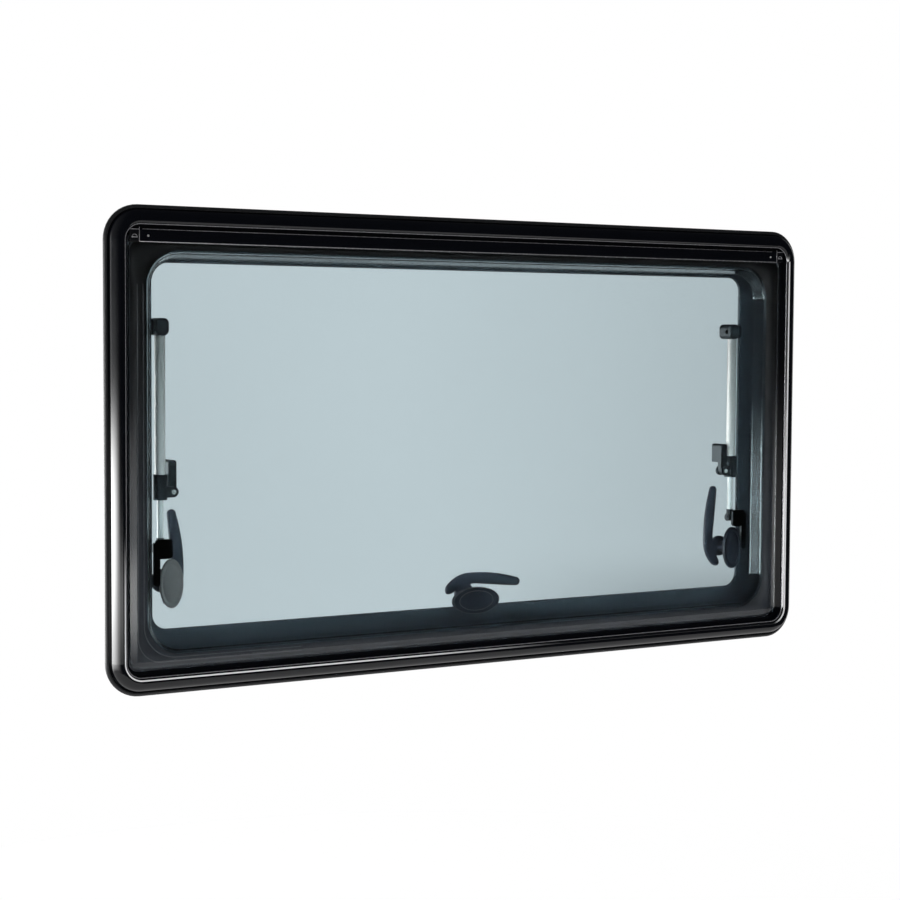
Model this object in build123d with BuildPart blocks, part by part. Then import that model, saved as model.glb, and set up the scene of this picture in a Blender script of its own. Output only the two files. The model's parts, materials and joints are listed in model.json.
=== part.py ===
from build123d import *
from math import atan2, tan
import os

# Caravan window, top hung, double acrylic sash, seen from outside along +Y.
# X runs to the right seen from outside, Y into the caravan, Z up. All sizes in millimetres.
# The origin lies on the wall's outer face, in the middle of the bottom flange strip.

# Wall and cut-out
cutout_width = 750.0
cutout_height = 400.0
wall_thickness = 30.0
flange_overlap = 20.0
cutout_clearance = 0.5

# Outer frame
corner_radius = 32.0
gasket_width = 3.2
gasket_height = 2.5
gasket_joint = 1.2
gasket_groove = 1.4
rim_width = 17.5
rim_height = 11.8
rim_round = 4.1
floor_height = 2.0
floor_round = 1.0
leg_thickness = 1.5
ledge_width = 13.0
ledge_depth = 4.5
ledge_thickness = 2.0
ledge_radius = 36.0
ledge_fillet = 1.6
rib_thickness = 4.0
rib_round = 1.9
opening_side = 55.5
opening_bottom = 55.0
opening_top = 50.0
opening_radius = 14.0

# Sash
sash_gap_side = 1.0
sash_gap_bottom = 3.0
sash_top = 30.5
pane_front = 5.0
pane_thickness = 4.0
bevel_width = 6.0
bevel_drop = 2.0
pane_corner = 8.0
sheet_thickness = 2.0
sheet_margin = 4.0
bubble_depth = 14.0
bubble_draft = 4.3
bubble_side = 41.8
bubble_bottom = 37.8
bubble_top = 41.5
bubble_radius = 31.0
bend_radius = 3.5
bend_flat = 2.0
seal_width = 8.0
seal_margin = 2.5
seal_gap = 0.3

# Hinge along the top
hinge_end_gap = 4.5
strip_height = 11.0
strip_overlap = 2.8
strip_front = 8.4
strip_thickness = 1.6
strip_round = 0.7
rail_height = 6.8
rail_rise = 0.5
rail_round = 0.6
bead_radius = 1.8
bead_play = 0.15
neck_thickness = 1.6
neck_play = 0.5
end_cap_length = 9.0
end_cap_round = 0.8
end_cap_recess = 1.0
rail_setback = 4.0

# Interior frame
inner_depth = 6.0
inner_lap = 6.0
inner_margin = 40.0
inner_margin_end = 38.0
inner_round_out = 3.5
inner_round_in = 2.0

# Stays, heights from the window's centre
stay_inset = 8.0
stay_depth = 27.8
tube_radius = 5.0
tube_bore = 3.7
rod_radius = 3.0
rod_travel = 60.0
bracket_width = 12.0
bracket_height = 14.0
bracket_plate = 2.0
bracket_pin = 10.0
head_width = 12.9
head_height = 16.0
head_depth = 20.0
head_front = 6.0
head_round = 5.0
head_edge = 1.5
spigot_length = 10.0
running_gap = 0.3
tube_top = 104.0
clamp_top = -22.7
clamp_length = 23.3
clamp_radius = 6.6
lever_inset = 11.0
lever_length = 29.0
lever_width = 8.0
lever_thickness = 5.4
grip_start = 9.0
grip_depth = 16.0
cheek = 2.2
pin_head = 1.0
rod_bottom = -81.0
rod_eye = 8.0
foot_down = -90.0
foot_width = 16.0
foot_height = 18.0
foot_plate = 3.0
foot_shift = 1.5
tail_width = 6.0
tail_height = 40.0
tail_shift = 8.5
tail_drop = 14.0
lug_thickness = 3.0
lug_width = 10.0
stay_pin = 2.5
foot_pin = 2.0
clamp_pin_radius = 1.5
pin_play = 0.05

# Latches
latch_side_inset = 14.0
latch_side_height = -122.0
latch_bottom_inset = 10.5
base_half_length = 22.5
base_half_width = 11.2
base_drop = 4.0
base_height = 6.0
spindle_radius = 3.0
hub_radius = 5.5
handle_gap = 5.0
handle_thickness = 7.0
handle_reach = 66.0
handle_bow = 20.0
handle_heel = 21.0
heel_blunt = 6.0
tip_radius = 4.5
tip_drift = 9.2
tongue_reach = 17.0
tongue_width = 12.0
spindle_head = 2.0

# Sizes that follow
frame_width = cutout_width + 2 * flange_overlap
frame_height = cutout_height + 2 * flange_overlap
half_width = frame_width / 2
half_height = frame_height / 2
centre = half_height - flange_overlap / 2
leg_out = flange_overlap + cutout_clearance
leg_in = leg_out + leg_thickness
rib_front = wall_thickness - rib_thickness
opening_half = half_width - opening_side
pane_back = pane_thickness - pane_front
sheet_back = pane_back + sheet_thickness
handle_front = wall_thickness + handle_gap
handle_back = handle_front + handle_thickness
base_back = bubble_depth + base_height
hinge_half_length = half_width - rim_width - hinge_end_gap - end_cap_length

front = Plane(origin=(0, 0, centre), x_dir=(1, 0, 0), z_dir=(0, -1, 0))


def level(depth):
    """Plane parallel to the wall at a depth behind its outer face, drawn as seen from outside."""
    return front.offset(-depth)


def band(side, bottom, top, radius, mode=Mode.ADD):
    """Rounded rectangle set in from the outer edge of the flange on its sides, bottom and top."""
    with Locations((0, (bottom - top) / 2)):
        RectangleRounded(frame_width - 2 * side, frame_height - bottom - top, radius, mode=mode)


def loop(side, bottom, top, radius):
    """Path round the window, set in from the flange's outer edge, from the middle of the bottom side."""
    x = half_width - side
    low = bottom - half_height
    high = half_height - top
    Line((0, low), (x - radius, low))
    CenterArc((x - radius, low + radius), radius, -90, 90)
    Line((x, low + radius), (x, high - radius))
    CenterArc((x - radius, high - radius), radius, 0, 90)
    Line((x - radius, high), (radius - x, high))
    CenterArc((radius - x, high - radius), radius, 90, 90)
    Line((-x, high - radius), (-x, low + radius))
    CenterArc((radius - x, low + radius), radius, 180, 90)
    Line((radius - x, low), (0, low))


def section(inset, depth):
    """Plane across the bottom side, its own x towards the window's centre and its own y out of the wall."""
    return Plane(origin=(0, depth, centre - half_height + inset), x_dir=(0, 0, 1), z_dir=(1, 0, 0))


def across(x, y, z):
    """Plane with its normal along X, its own x along Y and its own y along Z from the window's centre."""
    return Plane(origin=(x, y, centre + z), x_dir=(0, 1, 0), z_dir=(1, 0, 0))


def upright(x, y, z):
    """Plane with its normal up, at a height from the window's centre."""
    return Plane(origin=(x, y, centre + z), x_dir=(1, 0, 0), z_dir=(0, 0, 1))


def save(part, name):
    part.label = name
    export_step(part, f"parts/{name}.step")


os.makedirs("parts", exist_ok=True)

with BuildLine(front) as edge:
    loop(0, 0, 0, corner_radius)

# Outer frame: rim and leg swept round, seal ledge and rear rib as plates inside the leg
groove_in = gasket_width + gasket_groove
shoulder_foot = 0.28 * rim_height
crest = rim_width - rim_round
wall_top = rim_height - rim_round
with BuildPart() as outer_frame:
    with BuildSketch(section(0, 0)):
        with BuildLine():
            Polyline(
                (gasket_width, 0),
                (gasket_width, gasket_joint),
                (groove_in, gasket_joint),
                (groove_in, shoulder_foot),
            )
            EllipticalCenterArc(
                (crest, shoulder_foot),
                crest - groove_in,
                rim_height - shoulder_foot,
                start_angle=90,
                arc_size=90,
            )
            TangentArc((crest, rim_height), (rim_width, wall_top), tangent=(1, 0))
            Line((rim_width, wall_top), (rim_width, floor_height))
            Line((rim_width, floor_height), (leg_in - floor_round, floor_height))
            TangentArc(
                (leg_in - floor_round, floor_height),
                (leg_in, floor_height - floor_round),
                tangent=(1, 0),
            )
            Line((leg_in, floor_height - floor_round), (leg_in, ledge_fillet - ledge_depth))
            TangentArc(
                (leg_in, ledge_fillet - ledge_depth),
                (leg_in + ledge_fillet, -ledge_depth),
                tangent=(0, -1),
            )
            Polyline(
                (leg_in + ledge_fillet, -ledge_depth),
                (leg_in + ledge_fillet, -ledge_depth - ledge_thickness / 2),
                (leg_in, -ledge_depth - ledge_thickness / 2),
                (leg_in, -rib_front),
                (leg_out, -rib_front),
                (leg_out, 0),
                (gasket_width, 0),
            )
        make_face()
    sweep(path=edge.wire())
    with BuildSketch(level(ledge_depth)):
        band(leg_out, leg_out, leg_out, corner_radius - leg_out)
        ledge_in = leg_in + ledge_width
        band(ledge_in, ledge_in, ledge_in, ledge_radius, mode=Mode.SUBTRACT)
    extrude(amount=-ledge_thickness)
    with BuildSketch(level(rib_front)):
        band(leg_out, leg_out, leg_out, corner_radius - leg_out)
        band(opening_side, opening_bottom, opening_top, opening_radius, mode=Mode.SUBTRACT)
    extrude(amount=-rib_thickness)
    rib_back = outer_frame.faces().sort_by(Axis.Y)[-1]
    fillet(rib_back.inner_wires()[0].edges(), rib_round)
    flats = outer_frame.faces().filter_by(Axis.Y)
    rib_face = flats.filter_by_position(Axis.Y, rib_front - 0.01, rib_front + 0.01)[0]
    fillet(rib_face.inner_wires()[0].edges(), rib_round)
save(outer_frame.part, "outer_frame")

# Rubber gasket round the edge of the flange
with BuildPart() as wall_seal:
    with BuildSketch(section(0, 0)):
        with BuildLine():
            Polyline((0, 0), (0, 0.6 * gasket_height))
            ThreePointArc(
                (0, 0.6 * gasket_height),
                (0.4 * gasket_width, 0.94 * gasket_height),
                (gasket_width, gasket_height),
            )
            Polyline((gasket_width, gasket_height), (gasket_width, 0), (0, 0))
        make_face()
    sweep(path=edge.wire())
save(wall_seal.part, "wall_seal")

# Seal on the ledge, just behind the sash
seal_out = leg_in + seal_margin
seal_in = seal_out + seal_width
with BuildPart() as sash_seal:
    with BuildSketch(level(sheet_back + seal_gap)):
        band(seal_out, seal_out, seal_out, 0.5 * ledge_radius)
        band(seal_in, seal_in, seal_in, 0.9 * ledge_radius, mode=Mode.SUBTRACT)
    extrude(amount=sheet_back + seal_gap - ledge_depth)
    lip = sash_seal.faces().sort_by(Axis.Y)[0]
    fillet(lip.edges(), 0.35 * (ledge_depth - sheet_back - seal_gap))
save(sash_seal.part, "sash_seal")

# Outer pane with a bevel along its sides and bottom
pane_side = leg_in + sash_gap_side
pane_bottom = leg_in + sash_gap_bottom
pane_height = frame_height - pane_bottom - sash_top
with BuildPart() as outer_pane:
    with BuildSketch(level(-pane_front)):
        with Locations((0, (pane_bottom - sash_top) / 2)):
            Rectangle(frame_width - 2 * pane_side, pane_height)
    extrude(amount=-pane_thickness)
    pane_face = outer_pane.faces().sort_by(Axis.Y)[0]
    chamfer(pane_face.edges().sort_by(Axis.Z)[:3], bevel_width, bevel_drop, reference=pane_face)
    with BuildSketch(level(-pane_front)):
        band(pane_side, pane_bottom, sash_top, pane_corner)
    extrude(amount=-pane_thickness, mode=Mode.INTERSECT)
save(outer_pane.part, "outer_pane")

# Inner pane: a flange against the outer pane and a bubble pressed towards the inside, bends swept round
sheet_top = sash_top + strip_height
sheet_middle = pane_back + sheet_thickness / 2
half_sheet = sheet_thickness / 2
bubble_drop = bubble_depth - half_sheet - sheet_middle
wall_angle = atan2(bubble_drop, bubble_draft)
corner_shift = half_sheet * tan(wall_angle / 2)
bend_reach = bend_radius * tan(wall_angle / 2) + bend_flat
outer_bend = bend_radius + half_sheet
inner_bend = bend_radius - half_sheet
with BuildLine(front) as bubble_edge:
    loop(bubble_side, bubble_bottom, bubble_top, bubble_radius)
with BuildPart() as inner_pane:
    with BuildSketch(section(bubble_bottom, sheet_middle)):
        with BuildLine():
            FilletPolyline(
                (-bend_reach, half_sheet),
                (corner_shift, half_sheet),
                (bubble_draft + corner_shift, half_sheet - bubble_drop),
                (bubble_draft + bend_reach, half_sheet - bubble_drop),
                radius=[outer_bend, inner_bend],
            )
            FilletPolyline(
                (-bend_reach, -half_sheet),
                (-corner_shift, -half_sheet),
                (bubble_draft - corner_shift, -half_sheet - bubble_drop),
                (bubble_draft + bend_reach, -half_sheet - bubble_drop),
                radius=[inner_bend, outer_bend],
            )
            Line((-bend_reach, half_sheet), (-bend_reach, -half_sheet))
            Line(
                (bubble_draft + bend_reach, half_sheet - bubble_drop),
                (bubble_draft + bend_reach, -half_sheet - bubble_drop),
            )
        make_face()
    sweep(path=bubble_edge.wire())
    with BuildSketch(level(pane_back)):
        band(pane_side + sheet_margin, pane_bottom + sheet_margin, sheet_top - sheet_margin, pane_corner)
        band(
            bubble_side - bend_reach,
            bubble_bottom - bend_reach,
            bubble_top - bend_reach,
            bubble_radius + bend_reach,
            mode=Mode.SUBTRACT,
        )
    extrude(amount=-sheet_thickness)
    with BuildSketch(level(bubble_depth)):
        flat = bubble_draft + bend_reach
        band(bubble_side + flat, bubble_bottom + flat, bubble_top + flat, bubble_radius - flat)
    extrude(amount=sheet_thickness)
save(inner_pane.part, "inner_pane")

# Hinge along the top: a rail on the frame holds the bead of the strip on the sash
hinge_section = Plane(origin=(0, 0, centre + half_height), x_dir=(0, 0, -1), z_dir=(-1, 0, 0))
rail_bottom = leg_in + rail_height
bead_at = (leg_in + rail_height / 2, (pane_front - pane_back) / 2 - 2 * rail_rise)
with BuildPart() as hinge_rail:
    with BuildSketch(hinge_section) as rail_sketch:
        with Locations(((leg_in + rail_bottom) / 2, 0.5 * pane_front - rail_rise)):
            Rectangle(rail_height, pane_front + 2 * rail_rise)
        corners = rail_sketch.vertices().group_by(Axis.Y)[-1]
        fillet(corners, rail_round)
        with Locations(bead_at):
            Circle(bead_radius + bead_play, mode=Mode.SUBTRACT)
            Rectangle(
                neck_thickness + 2 * neck_play,
                4 * pane_front,
                align=(Align.CENTER, Align.MIN),
                mode=Mode.SUBTRACT,
            )
    extrude(amount=hinge_half_length - rail_setback, both=True)
save(hinge_rail.part, "hinge_rail")

strip_top = sash_top + strip_overlap - strip_height
strip_middle = strip_front - strip_thickness / 2
with BuildPart() as sash_hinge_strip:
    with BuildSketch(hinge_section) as strip_sketch:
        with Locations((strip_top + strip_height / 2, strip_middle)):
            Rectangle(strip_height, strip_thickness)
        corners = strip_sketch.vertices().group_by(Axis.Y)[-1]
        fillet(corners, strip_round)
        with Locations(bead_at):
            Circle(bead_radius)
            Rectangle(neck_thickness, strip_middle - bead_at[1], align=(Align.CENTER, Align.MIN))
        with Locations((sash_top + strip_overlap / 2, pane_front)):
            Rectangle(strip_overlap, strip_middle - pane_front, align=(Align.CENTER, Align.MIN))
    extrude(amount=hinge_half_length, both=True)
save(sash_hinge_strip.part, "sash_hinge_strip")

for side, name in ((-1, "left"), (1, "right")):
    with BuildPart() as hinge_end_cap:
        cap_x = side * (hinge_half_length + end_cap_length / 2)
        cap_z = half_height - strip_top - strip_height / 2
        with BuildSketch(level(-pane_front)):
            with Locations((cap_x, cap_z)):
                RectangleRounded(end_cap_length, strip_height, 2 * end_cap_round)
        extrude(amount=strip_front - pane_front)
        fillet(hinge_end_cap.faces().sort_by(Axis.Y)[0].edges(), end_cap_round)
        with BuildSketch(level(-strip_front)):
            with Locations((cap_x, cap_z)):
                Circle(0.3 * strip_height)
        extrude(amount=-end_cap_recess, mode=Mode.SUBTRACT)
    save(hinge_end_cap.part, f"hinge_end_cap_{name}")

# Interior frame that clamps the wall from inside
with BuildPart() as interior_frame:
    with BuildSketch(level(wall_thickness)):
        inner_out = flange_overlap - inner_lap
        band(inner_out, inner_out, inner_out, corner_radius - inner_out)
        band(inner_margin, inner_margin_end, inner_margin_end, opening_radius + 8, mode=Mode.SUBTRACT)
    extrude(amount=-inner_depth)
    trim_face = interior_frame.faces().sort_by(Axis.Y)[-1]
    fillet(trim_face.outer_wire().edges(), inner_round_out)
    trim_face = interior_frame.faces().sort_by(Axis.Y)[-1]
    fillet(trim_face.inner_wires()[0].edges(), inner_round_in)
save(interior_frame.part, "interior_frame")

# Telescopic stays, one at each side of the opening
stay_x = opening_half - stay_inset
pivot_up = tube_top + head_height / 2
clamp_bottom = clamp_top - clamp_length
tube_bottom = clamp_top - 0.57 * clamp_length
eye_height = clamp_bottom + 0.31 * clamp_length
cheek_reach = lever_thickness / 2 + running_gap + cheek
for side, name in ((-1, "left"), (1, "right")):
    axis_x = side * stay_x
    rib_x = side * opening_half
    plate_x = rib_x - side * bracket_plate

    # Bracket on the edge of the rib, with the pin of the upper pivot
    with BuildPart() as stay_bracket:
        with BuildSketch(across(rib_x, stay_depth, pivot_up)):
            RectangleRounded(bracket_width, bracket_height, 0.25 * bracket_width)
        extrude(amount=-side * bracket_plate)
        with BuildSketch(across(plate_x, stay_depth, pivot_up)):
            Circle(stay_pin)
        extrude(amount=-side * bracket_pin)
    save(stay_bracket.part, f"stay_bracket_{name}")

    # End cap: a deep head that turns on the upper pivot, with a spigot in the tube's bore
    with BuildPart() as stay_end_cap:
        head_x = plate_x - side * (running_gap + head_width / 2)
        with BuildSketch(level(stay_depth - head_front)):
            with Locations((head_x, pivot_up)):
                RectangleRounded(head_width, head_height, head_round)
        extrude(amount=-head_depth)
        fillet(stay_end_cap.faces().sort_by(Axis.Y)[0].edges(), head_edge)
        fillet(stay_end_cap.faces().sort_by(Axis.Y)[-1].edges(), head_edge)
        with BuildSketch(upright(axis_x, stay_depth, tube_top - spigot_length)):
            Circle(tube_bore - pin_play)
        extrude(amount=spigot_length + head_edge)
        with BuildSketch(across(plate_x, stay_depth, pivot_up)):
            Circle(stay_pin + pin_play)
        extrude(amount=-side * (head_width + 2 * running_gap), mode=Mode.SUBTRACT)
    save(stay_end_cap.part, f"stay_end_cap_{name}")

    with BuildPart() as stay_tube:
        with BuildSketch(upright(axis_x, stay_depth, tube_bottom)):
            Circle(tube_radius)
            Circle(tube_bore, mode=Mode.SUBTRACT)
        extrude(amount=tube_top - tube_bottom)
    save(stay_tube.part, f"stay_tube_{name}")

    # Clamp on the tube's lower end, with a fork for the lever towards the middle of the pane
    pin_x = axis_x - side * lever_inset
    with BuildPart() as stay_clamp:
        with BuildSketch(upright(axis_x, stay_depth, clamp_bottom)):
            Circle(clamp_radius)
        extrude(amount=clamp_length)
        for near in (stay_depth - cheek_reach, stay_depth + cheek_reach - cheek):
            with BuildSketch(level(near)):
                with Locations((pin_x, eye_height)):
                    Circle(0.63 * lever_width)
                with Locations((pin_x + side * 0.475 * lever_width, eye_height)):
                    Rectangle(0.95 * lever_width, 1.26 * lever_width)
            extrude(amount=-cheek)
        with BuildSketch(upright(axis_x, stay_depth, tube_bottom)):
            Circle(tube_radius + pin_play)
        extrude(amount=clamp_length, mode=Mode.SUBTRACT)
        with BuildSketch(upright(axis_x, stay_depth, clamp_bottom)):
            Circle(rod_radius + pin_play)
        extrude(amount=clamp_length, mode=Mode.SUBTRACT)
        with BuildSketch(level(stay_depth - cheek_reach)):
            with Locations((pin_x, eye_height)):
                Circle(clamp_pin_radius + pin_play)
        extrude(amount=-2 * cheek_reach, mode=Mode.SUBTRACT)
    save(stay_clamp.part, f"stay_clamp_{name}")

    with BuildPart() as clamp_lever:
        with BuildSketch(level(stay_depth - lever_thickness / 2)):
            with Locations((pin_x, eye_height)):
                Circle(lever_width / 2)
                Rectangle(lever_width, lever_length, align=(Align.CENTER, Align.MIN))
            with Locations((pin_x, eye_height)):
                Circle(clamp_pin_radius + pin_play, mode=Mode.SUBTRACT)
        extrude(amount=-lever_thickness)
        with BuildSketch(level(stay_depth - lever_thickness / 2)):
            with Locations((pin_x, eye_height + grip_start)):
                Rectangle(lever_width, lever_length - grip_start, align=(Align.CENTER, Align.MIN))
        extrude(amount=-grip_depth)
        fillet(clamp_lever.faces().sort_by(Axis.Z)[-1].edges().filter_by(Axis.Y), 0.3 * lever_width)
    save(clamp_lever.part, f"clamp_lever_{name}")

    with BuildPart() as clamp_pin:
        with BuildSketch(level(stay_depth - cheek_reach)):
            with Locations((pin_x, eye_height)):
                Circle(clamp_pin_radius)
        extrude(amount=-2 * cheek_reach)
        with BuildSketch(level(stay_depth - cheek_reach)):
            with Locations((pin_x, eye_height)):
                Circle(2 * clamp_pin_radius)
        extrude(amount=pin_head)
    save(clamp_pin.part, f"clamp_pin_{name}")

    with BuildPart() as stay_rod:
        with BuildSketch(upright(axis_x, stay_depth, rod_bottom)):
            Circle(rod_radius)
        extrude(amount=tube_top - rod_travel - rod_bottom)
    save(stay_rod.part, f"stay_rod_{name}")

    # Rod end with the eye of the lower pivot
    with BuildPart() as rod_end:
        with BuildSketch(upright(axis_x, stay_depth, foot_down)):
            Circle(0.46 * rod_eye)
        extrude(amount=rod_bottom - foot_down)
        with BuildSketch(across(axis_x - rod_eye / 2, stay_depth, foot_down)):
            Circle(0.5 * rod_eye)
        extrude(amount=rod_eye)
        with BuildSketch(across(axis_x - rod_eye, stay_depth, foot_down)):
            Circle(foot_pin + pin_play)
        extrude(amount=2 * rod_eye, mode=Mode.SUBTRACT)
    save(rod_end.part, f"rod_end_{name}")

    # Foot on the inner pane, with the pin of the lower pivot
    lug_x = axis_x + side * (rod_eye / 2 + running_gap)
    lug_rise = stay_depth - bubble_depth - foot_plate / 3
    with BuildPart() as stay_foot:
        with BuildSketch(level(bubble_depth)):
            with Locations((axis_x + side * foot_shift, foot_down)):
                RectangleRounded(foot_width, foot_height, foot_plate)
            with Locations((axis_x + side * tail_shift, foot_down - tail_drop)):
                RectangleRounded(tail_width, tail_height, 0.4 * tail_width)
        extrude(amount=-foot_plate)
        with BuildSketch(across(lug_x, stay_depth - lug_rise, foot_down)):
            Rectangle(lug_rise, lug_width, align=(Align.MIN, Align.CENTER))
            with Locations((lug_rise, 0)):
                Circle(0.5 * rod_eye)
        extrude(amount=side * lug_thickness)
        with BuildSketch(across(lug_x, stay_depth, foot_down)):
            Circle(foot_pin)
        extrude(amount=-side * (rod_eye + 3 * running_gap))
    save(stay_foot.part, f"stay_foot_{name}")

# Turn latches: one in the middle of the bottom, one at each side
latch_x = opening_half - latch_side_inset
latch_z = opening_bottom + latch_bottom_inset - half_height
seats = (
    ("bottom", (0, 0, centre + latch_z), (1, 0, 0), 1, base_drop),
    ("left", (-latch_x, 0, centre + latch_side_height), (0, 0, 1), -1, 0),
    ("right", (latch_x, 0, centre + latch_side_height), (0, 0, 1), 1, 0),
)
for name, pivot, along, hand, drop in seats:
    seat = Plane(origin=pivot, x_dir=along, z_dir=(0, -1, 0))

    with BuildPart() as latch_base:
        with BuildSketch(seat.offset(-bubble_depth)):
            with Locations((0, -hand * drop)):
                Ellipse(base_half_length, base_half_width)
        extrude(amount=-base_height)
        fillet(latch_base.faces().sort_by(Axis.Y)[-1].edges(), 0.35 * base_height)
    save(latch_base.part, f"latch_base_{name}")

    with BuildPart() as latch_spindle:
        with BuildSketch(seat.offset(-base_back)):
            Circle(spindle_radius)
        extrude(amount=base_back - handle_back - running_gap)
        with BuildSketch(seat.offset(-handle_back - running_gap)):
            Circle(2 * spindle_radius)
        extrude(amount=-spindle_head)
    save(latch_spindle.part, f"latch_spindle_{name}")

    # Handle: hub on the spindle, crescent lever along the pane, tongue over the rib
    tip_x = handle_reach - tip_radius
    tip_y = hand * tip_drift
    tip_r = hand * tip_radius
    bow = hand * handle_bow
    with BuildPart() as latch_handle:
        with BuildSketch(seat.offset(-handle_front)):
            with BuildLine():
                ThreePointArc(
                    (-handle_heel, 0.2 * bow),
                    (0.27 * handle_reach, bow),
                    (tip_x, tip_y + tip_r),
                )
                ThreePointArc(
                    (tip_x, tip_y + tip_r),
                    (handle_reach, tip_y),
                    (tip_x, tip_y - tip_r),
                )
                ThreePointArc(
                    (tip_x, tip_y - tip_r),
                    (0.55 * handle_reach, 0.35 * bow),
                    (hub_radius, 0),
                )
                Polyline((hub_radius, 0), (heel_blunt - handle_heel, 0), (-handle_heel, 0.2 * bow))
            make_face()
            Circle(2 * hub_radius)
            with Locations((0, -hand * (tongue_reach - tongue_width / 2) / 2)):
                SlotCenterToCenter(tongue_reach - tongue_width / 2, tongue_width, rotation=90)
        extrude(amount=-handle_thickness)
        with BuildSketch(seat.offset(-base_back - running_gap)):
            Circle(hub_radius)
        extrude(amount=base_back + running_gap - handle_front)
        with BuildSketch(seat.offset(-base_back)):
            Circle(spindle_radius + pin_play)
        extrude(amount=base_back - handle_back - running_gap, mode=Mode.SUBTRACT)
    save(latch_handle.part, f"latch_handle_{name}")
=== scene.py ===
"""Looks of a top-hung caravan window: finishes, small fasteners, moulded latch handles and the stage."""

import json
from math import pi

import bmesh
import bpy
import numpy as np
from mathutils import Euler, Matrix, Vector

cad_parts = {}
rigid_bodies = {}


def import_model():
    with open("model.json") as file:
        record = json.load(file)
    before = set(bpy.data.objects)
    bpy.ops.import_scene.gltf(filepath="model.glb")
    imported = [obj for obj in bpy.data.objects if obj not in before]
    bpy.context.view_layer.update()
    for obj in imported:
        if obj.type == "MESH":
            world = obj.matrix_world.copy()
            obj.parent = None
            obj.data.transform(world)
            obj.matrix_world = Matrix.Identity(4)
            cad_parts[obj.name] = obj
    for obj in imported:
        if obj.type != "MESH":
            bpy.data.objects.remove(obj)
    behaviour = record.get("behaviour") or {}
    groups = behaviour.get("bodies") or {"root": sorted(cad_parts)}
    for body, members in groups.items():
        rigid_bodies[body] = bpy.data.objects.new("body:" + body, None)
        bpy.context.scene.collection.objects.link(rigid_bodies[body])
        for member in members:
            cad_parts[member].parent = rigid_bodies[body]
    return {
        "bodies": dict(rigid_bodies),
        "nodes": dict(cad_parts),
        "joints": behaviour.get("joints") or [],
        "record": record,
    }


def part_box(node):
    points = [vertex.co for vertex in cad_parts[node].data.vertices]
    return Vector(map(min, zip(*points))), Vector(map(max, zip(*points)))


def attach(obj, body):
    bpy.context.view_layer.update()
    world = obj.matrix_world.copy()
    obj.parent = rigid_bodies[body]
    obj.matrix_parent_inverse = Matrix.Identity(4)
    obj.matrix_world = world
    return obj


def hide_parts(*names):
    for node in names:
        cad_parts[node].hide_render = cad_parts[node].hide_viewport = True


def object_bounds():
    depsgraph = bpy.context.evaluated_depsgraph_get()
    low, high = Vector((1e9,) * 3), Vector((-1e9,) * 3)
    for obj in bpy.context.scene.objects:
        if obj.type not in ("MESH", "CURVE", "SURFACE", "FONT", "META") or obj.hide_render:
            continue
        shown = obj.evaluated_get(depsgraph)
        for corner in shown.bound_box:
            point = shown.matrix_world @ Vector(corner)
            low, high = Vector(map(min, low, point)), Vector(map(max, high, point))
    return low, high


bl_info = {
    "name": "Caravan Window Looks",
    "version": (1, 0, 0),
    "blender": (4, 5, 0),
    "location": "View3D > Sidebar > Window",
    "description": "Finishes, fasteners, latch handles and stage of a top-hung caravan window",
    "category": "Object",
}

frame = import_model()
cad_low, cad_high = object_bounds()

MM = 0.001
WELD_DISTANCE = 0.001 * MM
SENSOR_WIDTH = 36.0
PLASTIC_IOR = 1.5
ACRYLIC_IOR = 1.49
WHITE = (1.0, 1.0, 1.0, 1.0)
SIDES = (("left", -1), ("right", 1))
LATCHES = ("bottom", "left", "right")
SLOT_COLOUR = {row["slot"]: tuple(row["base_color"][:3]) for row in frame["record"]["materials"]}
JOINT = {row["name"]: row for row in frame["joints"]}


# Sizes and colours that a user would change


def colour(name, description, default):
    return bpy.props.FloatVectorProperty(
        name=name, description=description, default=default, size=3, subtype="COLOR", min=0.0, max=1.0
    )


def length(name, description, default):
    return bpy.props.FloatProperty(
        name=name, description=description, default=default, unit="LENGTH", precision=4
    )


def share(name, description, default):
    return bpy.props.FloatProperty(
        name=name, description=description, default=default, min=0.0, subtype="FACTOR"
    )


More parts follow.
